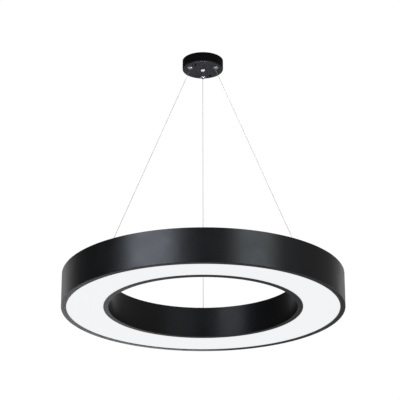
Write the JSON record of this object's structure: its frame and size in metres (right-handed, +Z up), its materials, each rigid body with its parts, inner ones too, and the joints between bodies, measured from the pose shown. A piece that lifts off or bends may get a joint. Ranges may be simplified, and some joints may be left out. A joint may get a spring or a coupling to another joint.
{
  "type": "pendant light",
  "caption": "Flat round ring pendant light with a glowing underside, hung on three thin steel wires from a small round ceiling canopy.",
  "frame": {"origin": "on the ceiling plane in the middle of the canopy, at the centre of the two ceiling screw slots", "axes": "+Z up out of the ceiling plate, -Y towards the viewer, +X to the viewer's right; the ring hangs down along -Z"},
  "size_m": [0.6, 0.6, 0.584],
  "materials": {
    "black_coat": "satin black powder coat on aluminium sheet",
    "canopy_coat": "satin black powder coat",
    "black_screw": "black zinc",
    "zinc_steel": "bright zinc plate",
    "nickel": "satin nickel plate",
    "gunmetal": "dark nickel plate",
    "bearing_steel": "polished steel",
    "spring_steel": "drawn spring steel",
    "wire_steel": "stranded stainless steel wire",
    "stop_alloy": "crimped aluminium",
    "white_nylon": "white moulded nylon",
    "block_nylon": "natural nylon",
    "zinc_screw": "bright zinc plate",
    "brass": "plain brass",
    "white_coat": "white powder coat on aluminium sheet",
    "board_white": "white solder mask",
    "led_lens": "phosphor lens",
    "opal_acrylic": "opal acrylic, satin face",
    "bare_aluminium": "mill finish",
    "potting": "black potting compound",
    "lead_sleeve": "white silicone sleeve"
  },
  "bodies": {
    "canopy": {"ceiling_plate": "zinc_steel", "plate_pillars": "zinc_steel", "canopy_cup": "canopy_coat", "canopy_screws": "black_screw", "gripper_barrels": "nickel", "gripper_locknuts": "nickel", "gripper_balls": "bearing_steel", "plunger_spring_left": "spring_steel", "plunger_spring_right": "spring_steel", "plunger_spring_rear": "spring_steel", "cable_tails": "wire_steel", "cable_stops": "stop_alloy", "outlet_bush": "white_nylon", "outlet_nut": "white_nylon", "terminal_block": "block_nylon", "terminal_screws": "zinc_screw", "earth_screw": "brass", "cable_left": "wire_steel", "cable_right": "wire_steel", "cable_rear": "wire_steel"},
    "plunger_left": {"plunger_left": "gunmetal"},
    "plunger_right": {"plunger_right": "gunmetal"},
    "plunger_rear": {"plunger_rear": "gunmetal"},
    "ring": {"outer_shell": "black_coat", "inner_shell": "black_coat", "top_plate": "black_coat", "top_screws": "black_screw", "gear_tray": "white_coat", "led_boards": "board_white", "led_chips": "led_lens", "board_screws": "zinc_screw", "diffuser": "opal_acrylic", "diffuser_clips": "spring_steel", "splice_plates": "bare_aluminium", "driver_case": "bare_aluminium", "driver_lid": "bare_aluminium", "driver_core": "potting", "driver_screws": "zinc_screw", "ring_terminal_block": "block_nylon", "ring_terminal_screws": "zinc_screw", "driver_leads": "lead_sleeve", "board_leads": "lead_sleeve", "wire_anchors": "nickel", "anchor_nuts": "nickel", "inlet_gland": "white_nylon", "inlet_nut": "white_nylon"}
  },
  "joints": [
    {"name": "plunger_left_press", "type": "slide", "parent": "canopy", "child": "plunger_left", "axis": [0, 0, 1], "range_m": [0, 0.002], "stiffness_N_per_m": 600, "springref_m": -0.004, "deforming": ["plunger_spring_left"]},
    {"name": "plunger_right_press", "type": "slide", "parent": "canopy", "child": "plunger_right", "axis": [0, 0, 1], "range_m": [0, 0.002], "stiffness_N_per_m": 600, "springref_m": -0.004, "deforming": ["plunger_spring_right"]},
    {"name": "plunger_rear_press", "type": "slide", "parent": "canopy", "child": "plunger_rear", "axis": [0, 0, 1], "range_m": [0, 0.002], "stiffness_N_per_m": 600, "springref_m": -0.004, "deforming": ["plunger_spring_rear"]},
    {"name": "ring_height", "type": "slide", "parent": "canopy", "child": "ring", "axis": [0, 0, 1], "range_m": [0, 0.25], "deforming": ["cable_left", "cable_right", "cable_rear"]}
  ]
}
